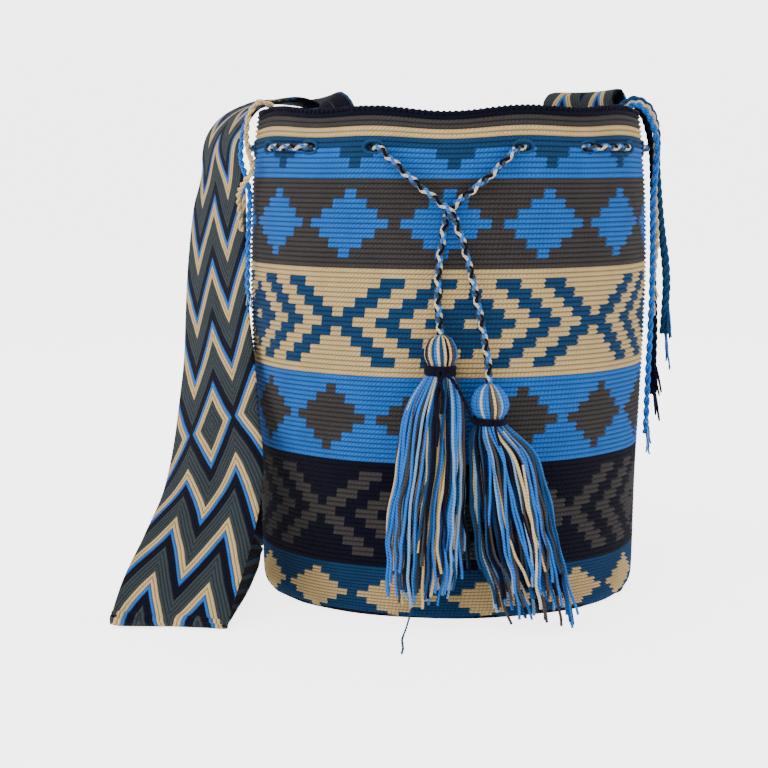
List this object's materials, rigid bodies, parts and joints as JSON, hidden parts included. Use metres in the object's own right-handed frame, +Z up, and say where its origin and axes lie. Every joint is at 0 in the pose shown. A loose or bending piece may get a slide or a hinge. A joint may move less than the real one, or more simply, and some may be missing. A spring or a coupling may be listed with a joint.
{
  "type": "wayuu mochila bag",
  "caption": "Round crocheted shoulder bag on a flat base, with a woven strap, a drawstring through eyelets below the rim, and yarn tassels.",
  "frame": {"origin": "middle of the bag's flat base, on the surface it stands on", "axes": "+Z up along the bag's middle line, -Y towards the front, where the drawstring's ends and the tassels hang, +X to the right as seen from the front"},
  "size_m": [0.3717, 0.3784, 0.3478],
  "materials": {
    "crochet_cotton": "matte crocheted cotton in bright blue, teal, warm grey, beige and navy bands",
    "strap_weave": "matte ply-split woven cotton cords in grey, navy, beige and bright blue zigzags",
    "drawstring_braid": "matte braided cotton in bright blue, beige, navy and grey",
    "tassel_yarn": "loose twisted cotton yarns in beige, blues, grey and navy",
    "navy_yarn": "matte navy cotton yarn",
    "beige_yarn": "matte beige twisted cotton yarn",
    "teal_yarn": "matte teal twisted cotton yarn",
    "blue_yarn": "matte bright blue twisted cotton yarn"
  },
  "bodies": {
    "bag": {"bag_body": "crochet_cotton", "strap": "strap_weave", "drawstring": "drawstring_braid", "end_cord_beige_right": "beige_yarn", "end_cord_beige_left": "beige_yarn", "end_cord_teal_right": "teal_yarn", "end_cord_navy_right": "navy_yarn", "end_cord_blue_right": "blue_yarn", "end_cord_blue_left": "blue_yarn"},
    "tassels": {"drawstring_end_left": "drawstring_braid", "drawstring_end_right": "drawstring_braid", "tassel_left": "tassel_yarn", "tassel_right": "tassel_yarn", "tassel_left_tie": "navy_yarn", "tassel_right_tie": "navy_yarn", "tassel_link_yarn": "navy_yarn", "tassel_long_strand": "teal_yarn"}
  },
  "joints": [
    {"name": "tassels_swing", "type": "hinge", "parent": "bag", "child": "tassels", "pos_m": [0.002, -0.15, 0.26], "axis": [-1, 0, 0], "range_deg": [0, 65]}
  ]
}
